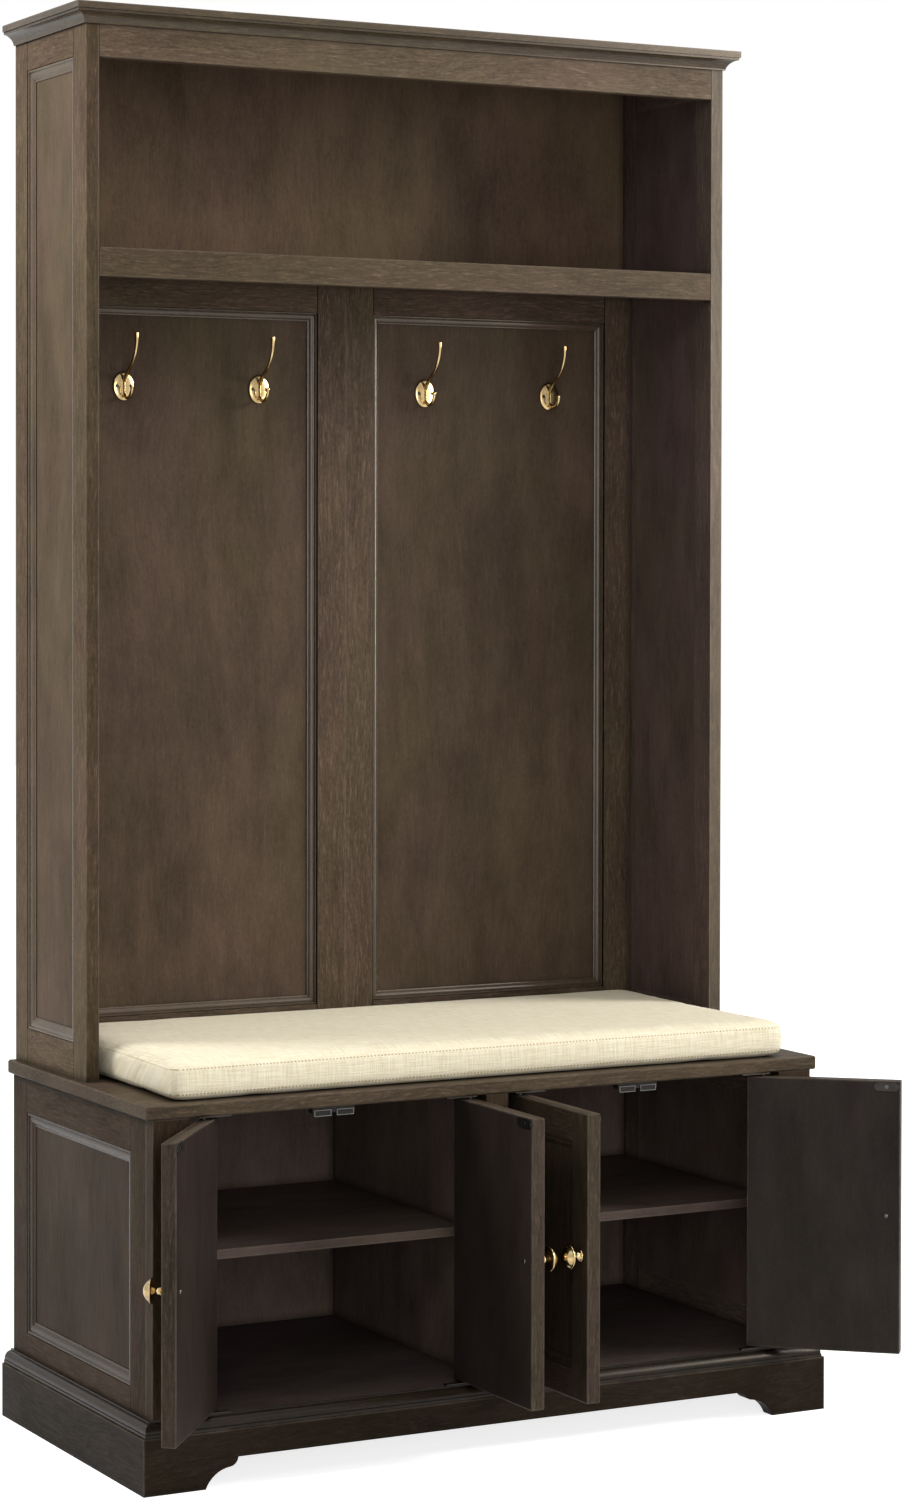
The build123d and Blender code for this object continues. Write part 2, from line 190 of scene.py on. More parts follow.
def srgb(red, green, blue):
    # screen values of 0 to 255 to a linear colour: a straight foot, and above it a power of 2.4
    parts = np.array((red, green, blue)) / 255.0
    linear = np.where(parts <= 0.04045, parts / 12.92, ((parts + 0.055) / 1.055) ** 2.4)
    return (*linear.tolist(), 1.0)


# Stained wood

# layers of the stain: lumps to the metre, share of that along the grain, and how far the tone moves
layers = {
    "cloud": {"scale": 5.5, "along": 0.6, "detail": 3.0, "rough": 0.55, "reach": 0.17},
    "blotch": {"scale": 21.0, "along": 0.5, "detail": 3.0, "rough": 0.6, "reach": 0.10},
    "figure": {"scale": 20.0, "along": 0.22, "detail": 4.0, "rough": 0.6, "reach": 0.10},
    "streak": {"scale": 320.0, "along": 0.07, "detail": 3.0, "rough": 0.65, "reach": 0.12},
    "pore": {"scale": 430.0, "along": 0.40, "detail": 2.0, "rough": 0.6, "reach": 0.19},
    "fleck": {"scale": 400.0, "along": 0.12, "detail": 2.0, "rough": 0.6, "reach": 0.7},
    "hue": {"scale": 7.5, "along": 0.55, "detail": 2.0, "rough": 0.5},
    "sway": {"scale": 3.4, "along": 0.7, "detail": 2.0, "rough": 0.5},
}
grain = {
    "swayReach": (0.07, 0.07, 0.0),      # how far the growth lines wander across the grain
    "fleckBand": (0.54, 0.72),           # the palest part of the noise makes flecks
    "lineReach": 0.15,                   # darker and paler lines where flecks are strong
    "calmBroad": 1.6,                    # shares of the broad and the fine layers on boards without flecks
    "calmFine": 0.5,
    "hueBand": (0.36, 0.64),
    "olive": (0.97, 1.0, 0.93, 1),
    "mauve": (1.03, 0.98, 1.05, 1),
    "roughByStreak": (0.50, 0.38),
    "roughByCloud": (0.05, -0.05),
    "reliefOfStreak": 0.6,
    "reliefOfFleck": 0.4,
    "reliefDepth": 0.0006,
    "seedStep": (0.731, 0.46053, 0.27047),       # moves each board's pattern on
}
# pale edges: wear where they are rubbed, and a painted highlight along the arrises
rubAndHighlight = {
    "from": 0.0004,          # the edge is palest up to here
    "to": 0.0026,            # and unrubbed from here on
    "colour": (0.15, 0.122, 0.092, 1),
    "patchScale": 30.0,
    "patchBand": (0.35, 0.65),
    "least": 0.35,           # of the rubbing, in the patches that keep their stain
}
# painted shade in corners: how far the occlusion looks, the openness over which it fades, and the darkest
# share of the colour
paintedCornerShade = {"reach": 0.012, "openness": (0.35, 0.95), "darkest": 0.3}
faceDepth = 0.0009           # a face stained apart takes in this much on either side
jointLine = {"half": 0.0007, "colour": (0.006, 0.005, 0.004, 1)}


def layer(tree, vector, name, output="Fac"):
    # noise across the grain, drawn out along the vector's third part
    look = layers[name]
    drawn = vector2(tree, "MULTIPLY", vector, (1.0, 1.0, look["along"]))
    return noise(tree, drawn, look["scale"], look["detail"], look["rough"], output)


def grainGroup():
    # stain times a tone, which is 1 plus the layers' moves, tinted olive to mauve, and paler at the edges,
    # where they are rubbed and carry a painted highlight
    tree, given, made = newGroup(
        "stainedGrain",
        [("Vector", "Vector"), ("Stain", "Color"), ("Rub", "Float"), ("Fleck", "Float")],
        [("Colour", "Color"), ("Roughness", "Float"), ("Height", "Float")],
    )
    vector = given.outputs["Vector"]
    wander = vector2(tree, "MULTIPLY", layer(tree, vector, "sway", "Color"), grain["swayReach"])
    line = vector2(tree, "ADD", wander, vector)
    seen = {name: layer(tree, vector, name) for name in ("cloud", "blotch", "hue")}
    seen.update({name: layer(tree, line, name) for name in ("figure", "streak", "pore", "fleck")})
    move = {name: spread(tree, seen[name], *noiseBand, -layers[name]["reach"], layers[name]["reach"])
            for name in ("cloud", "blotch", "figure", "streak", "pore")}
    tone = math2(tree, "ADD", 1.0, move["cloud"])
    for one, other, calm in (("blotch", "figure", "calmBroad"), ("streak", "pore", "calmFine")):
        share = spread(tree, given.outputs["Fleck"], 0.0, 1.0, grain[calm], 1.0)
        both = math2(tree, "ADD", move[one], move[other])
        tone = math2(tree, "ADD", tone, math2(tree, "MULTIPLY", both, share))
    lines = spread(tree, seen["streak"], *noiseBand, -grain["lineReach"], grain["lineReach"])
    flecks = spread(tree, seen["fleck"], *grain["fleckBand"], 0.0, layers["fleck"]["reach"])
    strong = math2(tree, "MULTIPLY", math2(tree, "ADD", lines, flecks), given.outputs["Fleck"])
    toned = scaled(tree, given.outputs["Stain"], math2(tree, "ADD", tone, strong))
    tint = mixColour(tree, spread(tree, seen["hue"], *grain["hueBand"]), grain["olive"], grain["mauve"])
    coloured = mixColour(tree, 1.0, toned, tint, "MULTIPLY")
    rubbed = mixColour(tree, given.outputs["Rub"], coloured, rubAndHighlight["colour"])
    tree.links.new(rubbed, made.inputs["Colour"])
    rough = math2(tree, "ADD", spread(tree, seen["streak"], *noiseBand, *grain["roughByStreak"]),
                  spread(tree, seen["cloud"], *noiseBand, *grain["roughByCloud"]))
    tree.links.new(rough, made.inputs["Roughness"])
    height = math2(tree, "ADD", math2(tree, "MULTIPLY", seen["streak"], grain["reliefOfStreak"]),
                   math2(tree, "MULTIPLY", seen["fleck"], grain["reliefOfFleck"]))
    tree.links.new(height, made.inputs["Height"])
    return tree


def makeRubAndHighlight():
    # distance to a board's nearest edge: the middle one of the three distances to its box's faces; the edge
    # is paled there for rubbing and a painted highlight
    tree, given, made = newGroup(
        "edgeRub",
        [("Vector", "Vector"), ("Low", "Vector"), ("High", "Vector"), ("Patches", "Float")],
        [("Mask", "Float")],
    )
    vector = given.outputs["Vector"]
    fromLow = vector2(tree, "SUBTRACT", vector, given.outputs["Low"])
    fromHigh = vector2(tree, "SUBTRACT", given.outputs["High"], vector)
    a, b, c = axes(tree, vector2(tree, "MINIMUM", fromLow, fromHigh))
    middle = math2(tree, "MAXIMUM", math2(tree, "MINIMUM", a, b),
                   math2(tree, "MINIMUM", math2(tree, "MAXIMUM", a, b), c))
    edge = spread(tree, middle, rubAndHighlight["from"], rubAndHighlight["to"], 1.0, 0.0)
    lumps = noise(tree, vector, rubAndHighlight["patchScale"], 2.0, 0.6)
    patches = spread(tree, lumps, *rubAndHighlight["patchBand"], rubAndHighlight["least"], 1.0)
    mask = math2(tree, "MULTIPLY", edge, math2(tree, "MULTIPLY", patches, given.outputs["Patches"]))
    tree.links.new(mask, made.inputs["Mask"])
    return tree


stainedGrain = grainGroup()
edgeRub = makeRubAndHighlight()

# colours of the stain, as seen on screen under plain light; the copies marked below are lightened or
# darkened as painted light and shade
stains = {
    "case": srgb(66, 55, 42),
    # painted light: a lighter copy for the outer faces of the hutch sides, where the left lamp falls
    "side": srgb(83, 70, 55),
    # painted light: a lighter copy for the header, to lift the crown's shade on it
    "header": srgb(78, 66, 52),
    "bench": srgb(53, 42, 31),
    "benchTop": srgb(69, 58, 47),
    "base": srgb(34, 27, 20),
    "back": srgb(74, 62, 50),
    "upperBack": srgb(84, 69, 55),
    "door": srgb(60, 51, 43),
    # painted shade: a darker copy for the doors' front faces
    "doorFront": srgb(45, 37, 29),
    # painted light: lighter copies for the inside faces of the bench and the hutch and for the shelves,
    # which lie in shade
    "inside": srgb(92, 79, 72),
    "hutchInside": srgb(80, 67, 61),
    "shelf": srgb(80, 68, 62),
    # painted shade: a darker copy of the inside stain for the floor inside the cabinet
    "insideFloor": srgb(63, 54, 51),
    # painted shade: darker copies for the doors' backs, greyer on the right outer leaf
    "doorBack": srgb(39, 32, 29),
    "doorBackGrey": srgb(46, 41, 37),
}

# finishes: paleness of the rubbed edges with their painted highlight, strength of flecks, specular level,
# share of roughness, depth of grain
board = {"rub": 0.42, "fleck": 1.0, "sheen": 0.03, "gloss": 1.0, "relief": 0.16}
moulded = {**board, "sheen": 0.2, "gloss": 0.6, "relief": 0.03}
framed = {**board, "rub": 0.3, "sheen": 0.02}
ringed = {**moulded, "rub": 0.3, "fleck": 0.2}
finishes = {
    "board": board,
    "panel": {**board, "fleck": 0.2},
    "backPanel": {**board, "fleck": 0.2, "sheen": 0.015},
    "rail": {**board, "sheen": 0.05},
    "crown": moulded,
    "baseMoulding": {**moulded, "sheen": 0.12},
    "frame": framed,
    "rightFrame": {**framed, "sheen": 0.15},
    "sideRing": ringed,
    "benchRing": {**ringed, "sheen": 0.12},
    "backRing": {**ringed, "sheen": 0.3},
}


def turned(tree, vector, along):
    # puts the chosen axis third, so that the grain runs along it
    if along == "z":
        return vector
    parts = axes(tree, vector)
    order = {"x": (1, 2, 0), "y": (0, 2, 1)}[along]
    return joined(tree, *(parts[index] for index in order))


def within(tree, vector, axis, centre, half):
    # 1 where the point lies within half of the centre along an axis
    return math2(tree, "COMPARE", axes(tree, vector)["xyz".index(axis)], centre, half)


def doorSpace(tree, here, door):
    # the closed door's own coordinates: x across the leaf from its pivot, y through it, z up
    untwist = addNode(tree, "ShaderNodeMapping", vector_type="TEXTURE")
    untwist.inputs["Location"].default_value = (*door["pivot"], 0.0)
    untwist.inputs["Rotation"].default_value = (0.0, 0.0, door["turn"])
    tree.links.new(here, untwist.inputs["Vector"])
    return untwist.outputs[0]


def ringMember(tree, here, ring):
    # 1 on a mitred ring's upper and lower members, which lie further out in z than along the other axis
    axis, middle, half, middleZ, halfZ = ring
    parts = axes(tree, here)
    sideways = away(tree, math2(tree, "ABSOLUTE", parts["xyz".index(axis)]), middle)
    upward = away(tree, parts[2], middleZ)
    return math2(tree, "GREATER_THAN", math2(tree, "SUBTRACT", upward, halfZ),
                 math2(tree, "SUBTRACT", sideways, half))


def doorFaces(tree, here, door):
    # masks of a door: front rails, whole front, and back
    front = within(tree, here, "y", *door["frontY"])
    across = math2(tree, "MULTIPLY", within(tree, here, "x", *door["railX"]), front)
    beyondField = math2(tree, "SUBTRACT", 1.0, within(tree, here, "z", *door["fieldZ"]))
    return (math2(tree, "MULTIPLY", across, beyondField),
            math2(tree, "MULTIPLY", front, within(tree, here, "x", *door["faceX"])),
            within(tree, here, "y", *door["backY"]))


def facesOf(name):
    # faces of a board painted apart with a lighter or darker copy of the stain for the light they get:
    # axis, place on it and stain
    low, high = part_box(name)
    if name == "bench_back_panel":
        return [("y", high.y, "upperBack")]
    if not name.startswith(("hutch_left", "hutch_right", "bench_left", "bench_right")):
        return []
    inner, outer = (high.x, low.x) if "_left" in name else (low.x, high.x)
    if name.startswith("bench"):
        return [("x", inner, "inside")]
    return [("x", inner, "hutchInside"), ("x", outer, "side")]


stained = []


def stainBoard(name, stain, along, finish, rails=None, door=None, ring=None):
    # stain under grain along an axis, which turns on rails, on a ring's members and on a door's rails
    # rails: axis, centre and half of the stretch between two stiles
    stained.append(name)
    look = finishes[finish]
    material, tree, shader, here = newMaterial(name)
    low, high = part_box(name)
    colour = stains[stain]
    fleck = look["fleck"]
    if door:
        here = doorSpace(tree, here, door)
        low, high = Vector(door["low"]), Vector(door["high"])
    moved = vector2(tree, "ADD", here, tuple(len(stained) * step for step in grain["seedStep"]))
    path = turned(tree, moved, along)
    if rails:
        path = mixVector(tree, within(tree, here, *rails), path, turned(tree, moved, rails[0]))
        axis, centre, half = rails
        fromCentre = away(tree, axes(tree, here)["xyz".index(axis)], centre)
        joint = math2(tree, "COMPARE", fromCentre, half, jointLine["half"])
    if ring:
        path = mixVector(tree, ringMember(tree, here, ring), path, turned(tree, moved, ring[0]))
    if door:
        rail, front, back = doorFaces(tree, here, door)
        path = mixVector(tree, rail, path, turned(tree, moved, "x"))
        # painted shade: the door's front face and its back take darker copies of the stain than its edges
        colour = mixColour(tree, front, colour, stains["doorFront"])
        colour = mixColour(tree, back, colour, stains[door["backStain"]])
        fleck = math2(tree, "SUBTRACT", fleck, back)
    # painted light and shade: inner and outer faces take lighter or darker copies of the stain
    for axis, at, faceStain in facesOf(name):
        colour = mixColour(tree, within(tree, here, axis, at, faceDepth), colour, stains[faceStain])
    if rails:
        colour = mixColour(tree, joint, colour, jointLine["colour"])       # where a rail butts a stile
    # pale edges for rubbing and a painted highlight
    rubbedAndHighlit = placeGroup(tree, edgeRub, Vector=here, Low=low, High=high, Patches=look["rub"])
    wood = placeGroup(tree, stainedGrain, Vector=path, Stain=colour, Rub=rubbedAndHighlit.outputs["Mask"], Fleck=fleck)
    # painted shade: ambient occlusion darkens the colour in corners and along mouldings
    crevice = addNode(tree, "ShaderNodeAmbientOcclusion", samples=4)
    crevice.inputs["Distance"].default_value = paintedCornerShade["reach"]
    clear = spread(tree, crevice.outputs["AO"], *paintedCornerShade["openness"], paintedCornerShade["darkest"], 1.0)
    tree.links.new(scaled(tree, wood.outputs["Colour"], clear), shader.inputs["Base Color"])
    rough = math2(tree, "MULTIPLY", wood.outputs["Roughness"], look["gloss"])
    tree.links.new(rough, shader.inputs["Roughness"])
    shader.inputs["Specular IOR Level"].default_value = look["sheen"]
    bump(tree, wood.outputs["Height"], shader, look["relief"], grain["reliefDepth"])
    dress(name, material)


def dress(name, material):
    # the material takes the place of the solid's own
    mesh = nodes[name].data
    mesh.materials.clear()
    mesh.materials.append(material)


def middleAndHalf(name):
    # middle and half size of a solid's box
    low, high = (np.array(corner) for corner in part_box(name))
    return (high + low) / 2, (high - low) / 2


# boards: stain, axis of the grain, finish and nodes
boards = (
    ("side", "z", "panel", ("hutch_left_panel", "hutch_right_panel")),
    ("bench", "z", "panel", ("bench_left_panel", "bench_right_panel")),
    ("bench", "z", "board", ("face_frame_stiles",)),
    ("back", "z", "backPanel", ("back_left_panel", "back_right_panel")),
    ("upperBack", "z", "backPanel", ("hutch_back_panel",)),
    ("inside", "z", "panel", ("partition", "bench_back_panel")),
    ("benchTop", "x", "board", ("bench_top",)),
    ("case", "x", "board", ("hat_shelf",)),
    ("case", "x", "rail", ("hat_shelf_rail",)),
    ("case", "x", "board", ("top_board",)),
    ("case", "x", "crown", ("crown_front",)),
    ("header", "x", "rail", ("header_rail",)),
    ("base", "x", "board", ("base_front_rail", "base_back_rail")),
    ("base", "x", "baseMoulding", ("base_moulding_front",)),
    ("shelf", "x", "panel", ("left_shelf", "right_shelf")),
    ("insideFloor", "x", "panel", ("cabinet_floor",)),
    ("case", "y", "crown", ("crown_returns",)),
    ("base", "y", "board", ("base_left_rail", "base_right_rail")),
    ("base", "y", "baseMoulding", ("base_moulding_left", "base_moulding_right")),
)
for stain, along, finish, names in boards:
    for name in names:
        stainBoard(name, stain, along, finish)

# frames: stain, axis of the rails, finish and nodes
frames = (
    ("case", "y", "frame", ("hutch_left_frame",)),
    ("case", "y", "rightFrame", ("hutch_right_frame",)),
    ("bench", "y", "frame", ("bench_left_frame", "bench_right_frame")),
    ("back", "x", "frame", ("back_left_frame", "back_right_frame")),
)
for stain, axis, finish, names in frames:
    for name in names:
        index = "xyz".index(axis)
        centre = middleAndHalf(name)[0][index]
        between = middleAndHalf(name.replace("_frame", "_panel"))[1][index]
        stainBoard(name, stain, "z", finish, rails=(axis, centre, between))

# panel mouldings: stain, axis across the panel, finish and the panel each goes round
rings = {
    "hutch_left_moulding": ("side", "y", "sideRing", "hutch_left_panel"),
    "hutch_right_moulding": ("side", "y", "sideRing", "hutch_right_panel"),
    "bench_left_moulding": ("bench", "y", "benchRing", "bench_left_panel"),
    "bench_right_moulding": ("bench", "y", "benchRing", "bench_right_panel"),
    "back_mouldings": ("back", "x", "backRing", "back_right_panel"),
}
for name, (stain, axis, finish, panel) in rings.items():
    middle, half = middleAndHalf(panel)
    index = "xyz".index(axis)
    stainBoard(name, stain, "z", finish, ring=(axis, abs(middle[index]), half[index], middle[2], half[2]))

# the four leaves: which way the free edge lies when closed, how far each stands open, and the darker stain
# painted on its back as shade
leaves = {
    "left_outer": {"hand": 1, "open": 128.0, "backStain": "doorBack"},
    "left_inner": {"hand": -1, "open": 90.0, "backStain": "doorBack"},
    "right_inner": {"hand": 1, "open": 90.0, "backStain": "doorBack"},
    "right_outer": {"hand": -1, "open": 138.5, "backStain": "doorBackGrey"},
}
leaf = {"width": 0.208, "thick": 0.019, "stile": 0.038, "toHinge": 0.020, "toFront": 0.006, "edge": 0.0006}
for joint in frame["joints"]:
    name = joint["child"].replace("_leaf", "")
    way = leaves[name]["hand"]
    bottom, top = (corner.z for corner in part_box(name + "_door"))
    edges = sorted((-way * leaf["toHinge"], way * (leaf["width"] - leaf["toHinge"])))
    front = -leaf["toFront"]
    back = front + leaf["thick"]
    door = {
        "pivot": joint["pos_m"][:2],
        "turn": math.radians(-way * leaves[name]["open"]),
        "low": (edges[0], front, bottom),
        "high": (edges[1], back, top),
        "railX": (sum(edges) / 2, leaf["width"] / 2 - leaf["stile"]),
        "fieldZ": ((bottom + top) / 2, (top - bottom) / 2 - leaf["stile"]),
        "frontY": (front, leaf["thick"] / 2),
        "backY": (back, faceDepth),
        "faceX": (sum(edges) / 2, leaf["width"] / 2 - leaf["edge"]),
        "backStain": leaves[name]["backStain"],
    }
    stainBoard(name + "_door", "door", "z", "board", door=door)
print("wood stained on", len(stained), "pieces")


# Metals

metals = {
    "antiqueBrass": {"pale": (0.48, 0.355, 0.18, 1), "dark": (0.18, 0.12, 0.05, 1), "rough": (0.15, 0.25)},
    "zincSteel": {"pale": (0.085, 0.08, 0.073, 1), "dark": (0.05, 0.047, 0.043, 1), "rough": (0.22, 0.34)},
    "darkSteel": {"pale": (0.034, 0.031, 0.028, 1), "dark": (0.02, 0.018, 0.016, 1), "rough": (0.42, 0.55)},
}
wear = {
    "patinaScale": 70.0,
    "patinaBand": (0.42, 0.70),
    "patinaShare": 0.55,
    "scratchScale": 1400.0,
    "scratchAlong": (1, 1, 0.12),
    "scratchRough": 0.04,
    "relief": 0.02,
    "reliefDepth": 0.0001,
}


def metalMaterial(name):
    # pale metal mixed towards dark by patina, with fine upright scratches in its roughness
    look = metals[name]
    material, tree, shader, here = newMaterial(name)
    patina = spread(tree, noise(tree, here, wear["patinaScale"], 2.0, 0.5), *wear["patinaBand"])
    scratch = noise(tree, vector2(tree, "MULTIPLY", here, wear["scratchAlong"]), wear["scratchScale"], 2.0)
    dulled = math2(tree, "MULTIPLY", patina, wear["patinaShare"])
    tree.links.new(mixColour(tree, dulled, look["pale"], look["dark"]), shader.inputs["Base Color"])
    shader.inputs["Metallic"].default_value = 1.0
    rough = math2(tree, "ADD", spread(tree, patina, 0.0, 1.0, *look["rough"]),
                  spread(tree, scratch, *noiseBand, -wear["scratchRough"], wear["scratchRough"]))
    tree.links.new(rough, shader.inputs["Roughness"])
    bump(tree, scratch, shader, wear["relief"], wear["reliefDepth"])
    return material


brass = metalMaterial("antiqueBrass")
steel = metalMaterial("zincSteel")
darkSteel = metalMaterial("darkSteel")
for name in nodes:
    if name.startswith("hook_") or name.endswith("_knob"):
        dress(name, brass)
    elif name.endswith("_fittings") or name in ("shelf_pins", "pivot_plates"):
        dress(name, darkSteel)

# two magnet heads on each catch, dark within a pale rim
catch = {
    "fromMiddle": 0.016,     # from a catch's middle to each head's middle
    "half": (0.012, 0.004),
    "margin": 0.002,         # from a head to the end of its catch
    "rim": 0.0007,
    "drop": 0.0110,          # from the catch's top to the heads' middle
    "rimColour": (0.32, 0.31, 0.295, 1),
    "shell": ((0.016, 0.015, 0.014, 1), (0.03, 0.028, 0.026, 1)),
    "cloudScale": 220.0,
    "rough": (0.36, 0.5),
    "sheen": 0.12,
    "relief": 0.08,
    "reliefDepth": 0.0003,
}


def catchMaterial():
    # rim where the distance inside a head's outline is less than the rim's width
    material, tree, shader, here = newMaterial("catchShell")
    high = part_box("magnetic_catches")[1]
    x, y, z = axes(tree, here)
    halfWide, halfTall = catch["half"]
    middle = high.x - catch["fromMiddle"] - halfWide - catch["margin"]
    across = away(tree, away(tree, math2(tree, "ABSOLUTE", x), middle), catch["fromMiddle"])
    upward = away(tree, z, high.z - catch["drop"])
    inside = math2(tree, "MINIMUM", math2(tree, "SUBTRACT", halfWide, across),
                   math2(tree, "SUBTRACT", halfTall, upward))
    rim = math2(tree, "COMPARE", inside, catch["rim"] / 2, catch["rim"] / 2)
    cloud = noise(tree, here, catch["cloudScale"], 3.0)
    shell = mixColour(tree, cloud, *catch["shell"])
    tree.links.new(mixColour(tree, rim, shell, catch["rimColour"]), shader.inputs["Base Color"])
    shader.inputs["Specular IOR Level"].default_value = catch["sheen"]
    tree.links.new(spread(tree, cloud, *noiseBand, *catch["rough"]), shader.inputs["Roughness"])
    bump(tree, cloud, shader, catch["relief"], catch["reliefDepth"])
    return material


dress("magnetic_catches", catchMaterial())
print("metal finished")


# Turned and bent metal: rings of points joined into closed shells

def turnedRings(profile, sides=40):
    # circle of each radius at each height; profile: radius and height in millimetres, from the foot up
    radius, height = np.array(profile).T / 1000
    angle = np.linspace(0, 2 * np.pi, sides, endpoint=False)
    level = np.repeat(height[:, None], sides, axis=1)
    return np.stack([np.outer(radius, np.cos(angle)), np.outer(radius, np.sin(angle)), level], axis=-1)


def bend(start, heading, radius, turn, count=24):
    # arc in the plane of out and up: the arm from its centre spun through the turn, left of the heading
    heading = np.array(heading) / np.linalg.norm(heading)
    left = np.array((-heading[1], heading[0])) * np.sign(turn)
    arm = -left * radius
    angle = np.radians(np.linspace(0, turn, count))
    cos, sin = np.cos(angle), np.sin(angle)
    spun = [np.stack([v[0] * cos - v[1] * sin, v[0] * sin + v[1] * cos], 1) for v in (arm, heading)]
    return np.array(start) - arm + spun[0], spun[1][-1]


def barRings(path, stations, sides=24):
    # circle about each point of a path of out and up; stations: share of the length and radius there
    step = np.gradient(path, axis=0)
    step /= np.linalg.norm(step, axis=1, keepdims=True)
    run = np.concatenate([[0], np.cumsum(np.linalg.norm(np.diff(path, axis=0), axis=1))])
    radius = np.interp(run / run[-1], *np.array(stations).T)
    angle = np.linspace(0, 2 * np.pi, sides, endpoint=False)
    none = np.zeros(len(path))
    centre = np.stack([none, path[:, 1], path[:, 0]], axis=-1)
    normal = np.stack([none, step[:, 0], -step[:, 1]], axis=-1)
    across = np.array((1.0, 0.0, 0.0))
    ring = np.cos(angle)[None, :, None] * across + np.sin(angle)[None, :, None] * normal[:, None, :]
    return (centre[:, None, :] + radius[:, None, None] * ring) / 1000


def placed(rings, origin, across, up, out):
    # origin plus the rings' three parts along three directions
    return np.array(origin) + rings @ np.array((across, up, out))


sharpAngle = 50.0            # edges sharper than this stay crisp


def metalPiece(name, shells, material, body):
    # quads between neighbouring rings, and a fan of triangles from the middle of each end ring
    points, faces, start = [], [], 0
    for rings in shells:
        count, sides = rings.shape[:2]
        column = np.arange(sides)
        beside = (column + 1) % sides
        row = np.arange(count - 1)[:, None] * sides
        quads = np.stack([row + column, row + beside, row + sides + beside, row + sides + column], axis=-1)
        foot, head, last = count * sides, count * sides + 1, (count - 1) * sides
        caps = [np.stack([np.full(sides, foot), beside, column], 1),
                np.stack([np.full(sides, head), last + column, last + beside], 1)]
        ends = [rings[:1].mean(axis=1), rings[-1:].mean(axis=1)]
        points.append(np.concatenate([rings.reshape(-1, 3), *ends]))
        faces += (quads.reshape(-1, 4) + start).tolist() + (np.concatenate(caps) + start).tolist()
        start += foot + 2
    mesh = bpy.data.meshes.new(name)
    mesh.from_pydata(np.concatenate(points).tolist(), [], faces)
    mesh.materials.append(material)
    mesh.shade_smooth()
    mesh.set_sharp_from_angle(angle=math.radians(sharpAngle))
    piece = bpy.data.objects.new(name, mesh)
    bpy.context.scene.collection.objects.link(piece)
    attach(piece, body)
    return piece


# Coat hooks, in millimetres but for the height: oval plate, upright fin, long prong and crook
hook = {
    "height": 1.3984,
    "plate": (15.5, 20.0),
    "plateProfile": ((1.0, 0.0), (1.0, 1.2), (0.97, 1.9), (0.92, 2.3), (0.70, 2.9), (0.40, 3.2),
                     (0.02, 3.3)),       # share of the plate's half sizes, and height
    "fin": (1.9, 18.0, 5.8),
    "long": {"root": (1.9, 3.0), "lean": (0.47, 0.883), "lower": (54.0, -32.0), "upper": (49.0, 64.0)},
    "longRadii": ((0, 1.6), (0.05, 2.4), (0.12, 2.7), (0.25, 2.5), (0.5, 2.2), (0.75, 2.2), (0.88, 2.6),
                  (0.95, 3.2), (1, 3.8)),
    "crook": {"root": (1.9, -9.0), "lean": (0.5, -0.866), "bend": (15.0, 160.0)},
    "crookRadii": ((0, 1.6), (0.14, 2.5), (0.42, 2.4), (0.7, 2.3), (0.86, 2.2), (0.89, 2.4), (0.92, 3.2),
                   (0.955, 3.6), (0.985, 3.0), (1, 1.2)),
    "screwOut": 10.2,
    "screwSeat": 2.6,
    "screw": ((2.4, 0.0), (2.4, 0.5), (2.1, 0.9), (0.9, 1.05), (0.7, 0.6), (0.05, 0.6)),
}


def hookShells():
    # turned plate made oval, half an ellipsoid for the fin, and two bars along arcs
    share, out = np.array(hook["plateProfile"]).T
    plate = turnedRings(np.stack([share * 1000, out], axis=1), 56)
    plate[..., :2] *= np.array(hook["plate"]) / 1000
    rise = np.linspace(-np.pi / 2 + 0.01, np.pi / 2 - 0.01, 24)
    ball = turnedRings(np.stack([np.cos(rise), np.sin(rise)], axis=1) * 1000, 24)
    wide, tall, deep = hook["fin"]
    standing = np.maximum(-ball[..., 1] * deep, 0.0)
    fin = np.stack([ball[..., 0] * wide, ball[..., 2] * tall, standing], axis=-1)
    long, crook = hook["long"], hook["crook"]
    lower, heading = bend(long["root"], long["lean"], *long["lower"])
    upper = bend(lower[-1], heading, *long["upper"])[0]
    curl = bend(crook["root"], crook["lean"], *crook["bend"], count=48)[0]
    longBar = barRings(np.concatenate([lower[:-1], upper]), hook["longRadii"])
    return [plate, fin / 1000, longBar, barRings(curl, hook["crookRadii"])]


upright = ((1, 0, 0), (0, 0, 1), (0, -1, 0))
hookScrews = []
for name in sorted(node for node in nodes if node.startswith("hook_")):
    low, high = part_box(name)
    wall = ((low.x + high.x) / 2, high.y, hook["height"])
    shells = [placed(part, wall, *upright) for part in hookShells()]
    shape = metalPiece(name.replace("_", "") + "Brass", shells, brass, "cabinet")
    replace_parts(shape, name)
    for side in (-1, 1):
        seat = (wall[0] + side * hook["screwOut"] / 1000, wall[1] - hook["screwSeat"] / 1000, wall[2])
        hookScrews.append(placed(turnedRings(hook["screw"], 20), seat, *upright))
metalPiece("hookScrews", hookScrews, darkSteel, "cabinet")

